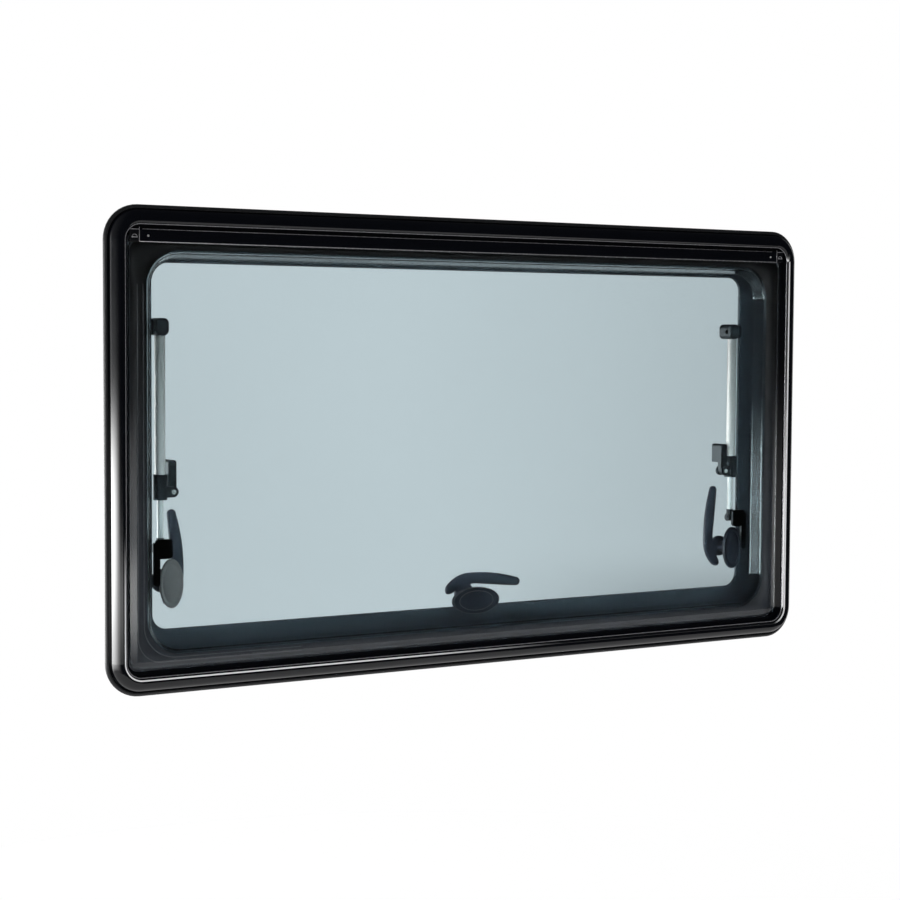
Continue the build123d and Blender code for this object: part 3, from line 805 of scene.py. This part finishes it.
class WINDOW_OT_trim(bpy.types.Operator):
    """Grains the interior frame and drives its ring of screws"""

    bl_idname = "window.trim"
    bl_label = "Interior Frame"

    def execute(self, context):
        look = context.scene.window_finish
        size = context.scene.window_detail
        grained = moulding_finish("grained_trim", look.trim, grain=0.9 * MM, depth=0.08 * MM, roughness=0.5)
        dress(("interior_frame",), grained)
        low, high = corners("interior_frame")
        inset = 13 * MM
        half_x = (high[0] - low[0]) / 2 - inset
        half_z = (high[2] - low[2]) / 2 - inset
        count_x = int(np.ceil(2 * half_x / size.screw_pitch))
        count_z = int(np.ceil(2 * half_z / size.screw_pitch))
        run_x = (np.arange(count_x) + 0.5) * 2 * half_x / count_x - half_x
        run_z = (np.arange(count_z) + 0.5) * 2 * half_z / count_z - half_z
        x = np.concatenate((run_x, run_x, np.full(count_z, -half_x), np.full(count_z, half_x)))
        z = np.concatenate((np.full(count_x, -half_z), np.full(count_x, half_z), run_z, run_z))
        middle_x, middle_z = flat_middle(low, high)
        places = np.stack((middle_x + x, np.full(x.size, high[1]), middle_z + z), axis=-1)
        head = screw_head(size.screw_radius, size.screw_rise, facing=1)
        steel = steel_finish("pin_steel", look.pin, metal=1.0)
        screws = [head + place for place in places]
        add_piece("interior_frame_screws", screws, steel, "window")
        return {"FINISHED"}


class WINDOW_OT_hinge(bpy.types.Operator):
    """Finishes the hinge's end caps, paints highlights along their edges and hook, and adds the strip's lock
    screws
    """

    bl_idname = "window.hinge"
    bl_label = "Hinge Ends"

    def execute(self, context):
        look = context.scene.window_finish
        size = context.scene.window_detail
        black = moulding_finish("end_cap_moulding", look.cap, grain=0.7 * MM, depth=0.02 * MM, roughness=0.2)
        dress([f"hinge_end_cap_{side}" for side, _ in SIDES], black)
        steel = bpy.data.materials["pin_steel"]
        edge_highlight = bpy.data.materials["edge_highlight_paint"]
        strip_low, strip_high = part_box("sash_hinge_strip")
        radius = size.cap_hook_radius
        foot = 1.2 * radius
        thin = 0.7 * size.edge_bead
        thick = 1.5 * thin
        above_cap = 2.0 * MM
        head = screw_head(size.lock_screw_radius, rise=0.5 * MM, facing=-1)
        for side, sign in SIDES:
            low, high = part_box(f"hinge_end_cap_{side}")
            middle = np.array((low + high) / 2)
            end = strip_high.x if sign > 0 else strip_low.x
            hook_x = middle[0]
            hook_z = middle[2] - 0.6 * radius
            path, out = oval_loop((hook_x, hook_z), radius, radius, start=0.0, stop=pi, count=20)
            # Painted highlights: pale beads trace the hook, its foot, the strip's end and the cap's top edge.
            lines = [
                bead(path, out, low.y, thin, closed=False),
                straight_bead((hook_x - foot, hook_z), (hook_x + foot, hook_z), low.y, thick),
                straight_bead((end, low.z), (end, high.z + above_cap), low.y, thin),
                straight_bead((low.x, high.z), (high.x, high.z), low.y, thin),
            ]
            add_piece(f"end_cap_highlights_{side}", lines, edge_highlight, "window")
            lock = np.array((end - sign * size.lock_screw_inset, strip_low.y, middle[2]))
            add_piece(f"hinge_lock_screw_{side}", [head + lock], steel, "window")
        return {"FINISHED"}


class WINDOW_OT_stays(bpy.types.Operator):
    """Finishes the telescopic stays and sets the hollow rivets of their clamps"""

    bl_idname = "window.stays"
    bl_label = "Stays"

    def execute(self, context):
        look = context.scene.window_finish
        size = context.scene.window_detail
        plastic = moulding_finish(
            "fitting_moulding", look.fitting, grain=0.6 * MM, depth=0.03 * MM, roughness=0.34
        )
        # The tube is darkened towards its top by a factor, a painted shade.
        tube = drawn_finish(
            "anodised_tube", look.tube, metal=0.35, roughness=0.4, streak=0.9 * MM, top_shade=0.45
        )
        bright = steel_finish("rivet_steel", look.rod, metal=0.3)
        rod = drawn_finish("ground_rod", look.rod, metal=0.2, roughness=0.3, streak=0.5 * MM)
        moulded = ("stay_bracket", "stay_end_cap", "stay_clamp", "clamp_lever", "rod_end", "stay_foot")

        # Hollow rivet as a turned ring, in shares of its radius, with its depth towards the outside
        ring = turned(((0.2, 0.0), (0.9, 0.0), (1.0, 0.1), (0.9, 0.26), (0.35, 0.3), (0.2, 0.16)))
        rivet = size.rivet_radius * ring[..., (0, 2, 1)] * np.array((1, -1, 1))
        for side, _ in SIDES:
            dress([f"{piece}_{side}" for piece in moulded], plastic)
            dress((f"stay_tube_{side}",), tube)
            dress((f"stay_rod_{side}",), rod)
            dress((f"clamp_pin_{side}",), plastic)
            low, high = corners(f"clamp_pin_{side}")
            x, z = flat_middle(low, high)
            seat = np.array((x, low[1], z))
            add_piece(f"clamp_rivet_{side}", [rivet + seat], bright, "window")
        return {"FINISHED"}


class WINDOW_OT_latches(bpy.types.Operator):
    """Moulds the three oval latch seats and the three handles"""

    bl_idname = "window.latches"
    bl_label = "Latches"

    def execute(self, context):
        look = context.scene.window_finish
        size = context.scene.window_detail
        seat_grain = {"grain": 0.8 * MM, "depth": 0.04 * MM, "roughness": 0.4}
        dark = moulding_finish("latch_seat_moulding", look.seat, **seat_grain)
        # Painted light: the left seat gets a lit grey tone of the dark seat plastic, which also colours the
        # bottom seat's highlight rings.
        lit_grey = moulding_finish("left_latch_seat_lit", look.seat_left_lit, **seat_grain)
        plastic = moulding_finish(
            "handle_moulding", look.handle, grain=0.6 * MM, depth=0.03 * MM, roughness=0.34
        )
        steel = bpy.data.materials["pin_steel"]

        # Directions along and beside each lever, and the hand of its handle
        frames = {
            "bottom": ((1, 0, 0), (0, 0, 1), 1),
            "left": ((0, 0, 1), (-1, 0, 0), -1),
            "right": ((0, 0, 1), (-1, 0, 0), 1),
        }
        for place in LATCHES:
            dress((f"latch_spindle_{place}",), steel)
            along, beside, hand = frames[place]
            axes = np.array((along, beside, (0, 1, 0)), float)
            self.mould_seat(size, place, axes, lit_grey if place == "left" else dark, lit_grey)
            self.mould_handle(size, place, axes, hand, plastic)
        return {"FINISHED"}

    def mould_seat(self, size, place, axes, finish, ring_highlight_finish):
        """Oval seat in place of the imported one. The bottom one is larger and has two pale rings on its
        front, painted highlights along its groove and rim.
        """
        low, high = corners(f"latch_base_{place}")
        half_long, half_wide, _ = np.abs(axes @ (high - low)) / 2
        x, z = flat_middle(low, high)
        if place == "bottom":
            half_long += size.seat_overhang
            half_wide += 0.5 * size.seat_overhang
        oval = MM * oval_seat(half_long / MM, half_wide / MM) @ axes + np.array((x, low[1], z))
        seat = add_piece(f"oval_seat_{place}", [oval], finish, "window")
        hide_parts(f"latch_base_{place}")
        if place == "bottom":
            # Painted highlights: two pale rings along the edges of the seat's groove and rim.
            ring_depth = low[1] + 0.4 * MM
            ring_radius = 0.3 * MM
            loops = [oval_loop((x, z), part * half_long, part * half_wide) for part in (0.72, 0.97)]
            rings = [bead(path, out, ring_depth, ring_radius, closed=True) for path, out in loops]
            add_piece("seat_highlight_rings_bottom", rings, ring_highlight_finish, "window")

    def mould_handle(self, size, place, axes, hand, finish):
        """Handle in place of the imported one: its grids become one skin, which is then softened."""
        pivot = np.array(JOINT[f"latch_turn_{place}"]["pos_m"]) * np.array((1, 0, 1))
        grids = [MM * grid @ axes + pivot for grid in handle_grids(hand)]
        name = f"moulded_handle_{place}"
        handle = add_piece(name, grids, finish, f"handle_{place}")
        skin = handle.modifiers.new("skin", "REMESH")
        skin.mode = "VOXEL"
        skin.voxel_size = size.handle_skin
        skin.use_smooth_shade = True
        soften = handle.modifiers.new("soften", "SMOOTH")
        soften.factor = 0.5
        soften.iterations = 6
        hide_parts(f"latch_handle_{place}")


class WINDOW_OT_stage(bpy.types.Operator):
    """Sets the camera, the pale floor, the white surroundings and the soft lights"""

    bl_idname = "window.stage"
    bl_label = "Stage"

    def execute(self, context):
        scene = context.scene
        view = scene.window_stage
        scene.view_settings.view_transform = "Standard"
        self.place_camera(scene, view)
        self.lay_floor(scene, view)
        self.paint_world(scene, view)
        self.hang_light(
            "left_softbox", place=(-1.6, 0.2, 0.1), target=(0.0, 0.1, 0.2), size=(1.0, 0.6), radiance=3.0
        )
        self.hang_light(
            "inside_softbox", place=(-1.3, 0.75, 0.25), target=(0.0, 0.03, 0.2), size=(0.6, 0.8), radiance=3.0
        )
        return {"FINISHED"}

    def place_camera(self, scene, view):
        pitch, roll, turn = view.camera_turn
        camera = bpy.data.objects.new("camera", bpy.data.cameras.new("camera"))
        camera.data.sensor_width = SENSOR_WIDTH
        camera.data.lens = view.lens
        level = Euler((pi / 2 + pitch, 0.0, -turn)).to_matrix().to_4x4()
        camera.matrix_world = Matrix.Translation(view.camera_place) @ level @ Matrix.Rotation(roll, 4, "Z")
        scene.collection.objects.link(camera)
        scene.camera = camera

    def lay_floor(self, scene, view):
        """Disc as a grid of rings by angles. It is pale and matt, and glows white to the camera."""
        rings = 6
        columns = 96
        ring = np.linspace(0.0, view.floor_radius, rings)[:, None]
        angle = full_turn(columns)
        height = np.full((rings, columns), cad_low[2] - view.floor_drop)
        points = np.stack((ring * np.cos(angle), ring * np.sin(angle), height), axis=-1)
        mesh = bpy.data.meshes.new("floor")
        mesh.from_pydata(points.reshape(-1, 3).tolist(), [], grid_faces(rings, columns).tolist())
        graph = finish_named("pale_floor")
        speck = graph.noise(size=4 * MM)
        pale = graph.tones(speck, WHITE[:3], first=0.78, last=0.82)
        matt = graph.node("BsdfDiffuse", {}, {"Color": pale})
        seen = graph.node("LightPath", output="Is Camera Ray")
        mirrored = graph.node("LightPath", output="Is Glossy Ray")
        glow = graph.node("Emission", {}, {"Color": WHITE, "Strength": 1.04})
        share_glow = 0.9 * seen + 0.3 * mirrored
        mixed = graph.node("MixShader", {}, {"Fac": share_glow, "Shader": matt, "Shader_001": glow})
        mesh.materials.append(graph.close(mixed))
        floor = bpy.data.objects.new("floor", mesh)
        scene.collection.objects.link(floor)

    def paint_world(self, scene, view):
        """White to the camera. Through the pane it is white behind the wall, a little darker to the right.
        What is lit sees soft light from all round, which is stronger through the pane. Mirrors see white
        behind the wall, and before it a dark room with two low windows: a wide one at the left that fades
        towards the front, and a narrow one in front. Steps are in parts of a direction of length 1."""
        world = bpy.data.worlds.new("surroundings")
        scene.world = world
        graph = Graph(world)
        towards = graph.node("TexCoord", output="Generated")
        x, y, z = (graph.node("SeparateXYZ", {}, {"Vector": towards}, output=axis) for axis in "XYZ")
        flags = ("Is Camera Ray", "Is Transmission Ray", "Is Glossy Ray", "Diffuse Depth", "Glossy Depth")
        seen, through, glossy, lit, mirrored = (graph.node("LightPath", output=flag) for flag in flags)
        lit = graph.step(lit, 0.0, 1.0)
        mirrored = graph.step(mirrored, 0.0, 1.0)

        # What mirrors see: the window at the left, the one in front, and the open side behind the wall.
        # Facing is the cosine to the middle of the left window, raised by a tenth.
        left_haze = 0.2
        facing = (0.14 * y - 0.99 * x + 0.1).at_least(0.0)
        rise = 0.3 * graph.step(z, -0.55, -0.2) + 0.7 * graph.step(z, -0.18, -0.11)
        low_band = rise * (1.0 - graph.step(z, -0.085, -0.025))
        left = facing * facing * (left_haze + view.left_window * low_band)
        front_wide = graph.span(x, opens=(-0.6, -0.4), closes=(0.2, 0.33))
        front_high = graph.span(z, opens=(-0.17, -0.14), closes=(-0.13, -0.1))
        front = front_wide * front_high * (1.0 - graph.step(y, -0.7, -0.4))
        open_side = graph.step(y, 0.1, 0.6) * (1.0 - graph.step(z, 0.15, 0.4))
        mirror = view.mirror_front + open_side + left + view.front_window * front
        turned_in = 1.0 - graph.step(y, -0.4, -0.1)
        mirror_in = view.mirror_front + open_side + turned_in * left

        # What the camera sees through the pane
        right_fall = 0.18 * graph.step(x, 0.48, 0.68)
        left_fall = 0.05 * (1.0 - graph.step(x, 0.33, 0.47))
        corner_fall = 0.4 * (graph.step(x, 0.5, 0.66) * (1.0 - graph.step(z, -0.14, -0.105)))
        beyond = graph.step(y, 0.1, 0.4) * (1.0 - right_fall - left_fall - corner_fall)
        sharp = mirrored * mirror_in + (1.0 - mirrored) * beyond

        to_panes = lit * view.through_pane + (1.0 - lit) * sharp
        to_gloss = lit * view.ambient + (1.0 - lit) * mirror
        bare = glossy * to_gloss + (1.0 - glossy) * view.ambient
        strength = seen + (1.0 - seen) * (through * to_panes + (1.0 - through) * bare)
        light = graph.node("Background", {}, {"Color": WHITE, "Strength": strength})
        graph.close(light, "World")

    def hang_light(self, name, place, target, size, radiance):
        """Rectangular soft light; its power is its radiance times its area times pi."""
        lamp = bpy.data.lights.new(name, "AREA")
        lamp.shape = "RECTANGLE"
        lamp.size, lamp.size_y = size
        lamp.energy = radiance * size[0] * size[1] * pi
        item = bpy.data.objects.new(name, lamp)
        item.location = place
        item.rotation_euler = (Vector(target) - Vector(place)).to_track_quat("-Z", "Y").to_euler()
        item.visible_camera = False
        item.visible_glossy = False
        item.visible_transmission = False
        bpy.context.scene.collection.objects.link(item)


ORDER = (
    WINDOW_OT_frame,
    WINDOW_OT_seals,
    WINDOW_OT_panes,
    WINDOW_OT_trim,
    WINDOW_OT_hinge,
    WINDOW_OT_stays,
    WINDOW_OT_latches,
    WINDOW_OT_stage,
)


class WINDOW_PT_looks(bpy.types.Panel):
    """Sidebar list of the window's pieces and settings"""

    bl_idname = "WINDOW_PT_looks"
    bl_label = "Caravan Window"
    bl_space_type = "VIEW_3D"
    bl_region_type = "UI"
    bl_category = "Window"

    def draw(self, context):
        for operator in ORDER:
            self.layout.operator(operator.bl_idname)
        for group in (context.scene.window_finish, context.scene.window_detail, context.scene.window_stage):
            box = self.layout.box()
            for name in group.bl_rna.properties.keys():
                if name not in ("rna_type", "name"):
                    box.prop(group, name)


CLASSES = (WindowFinish, WindowDetail, WindowStage, *ORDER, WINDOW_PT_looks)


def register():
    for item in CLASSES:
        bpy.utils.register_class(item)
    bpy.types.Scene.window_finish = bpy.props.PointerProperty(type=WindowFinish)
    bpy.types.Scene.window_detail = bpy.props.PointerProperty(type=WindowDetail)
    bpy.types.Scene.window_stage = bpy.props.PointerProperty(type=WindowStage)


def unregister():
    del bpy.types.Scene.window_stage
    del bpy.types.Scene.window_detail
    del bpy.types.Scene.window_finish
    for item in reversed(CLASSES):
        bpy.utils.unregister_class(item)


def main():
    clear_stage()
    register()
    bpy.ops.window.frame()
    bpy.ops.window.seals()
    bpy.ops.window.panes()
    bpy.ops.window.trim()
    bpy.ops.window.hinge()
    bpy.ops.window.stays()
    bpy.ops.window.latches()
    bpy.ops.window.stage()


if __name__ == "__main__":
    main()
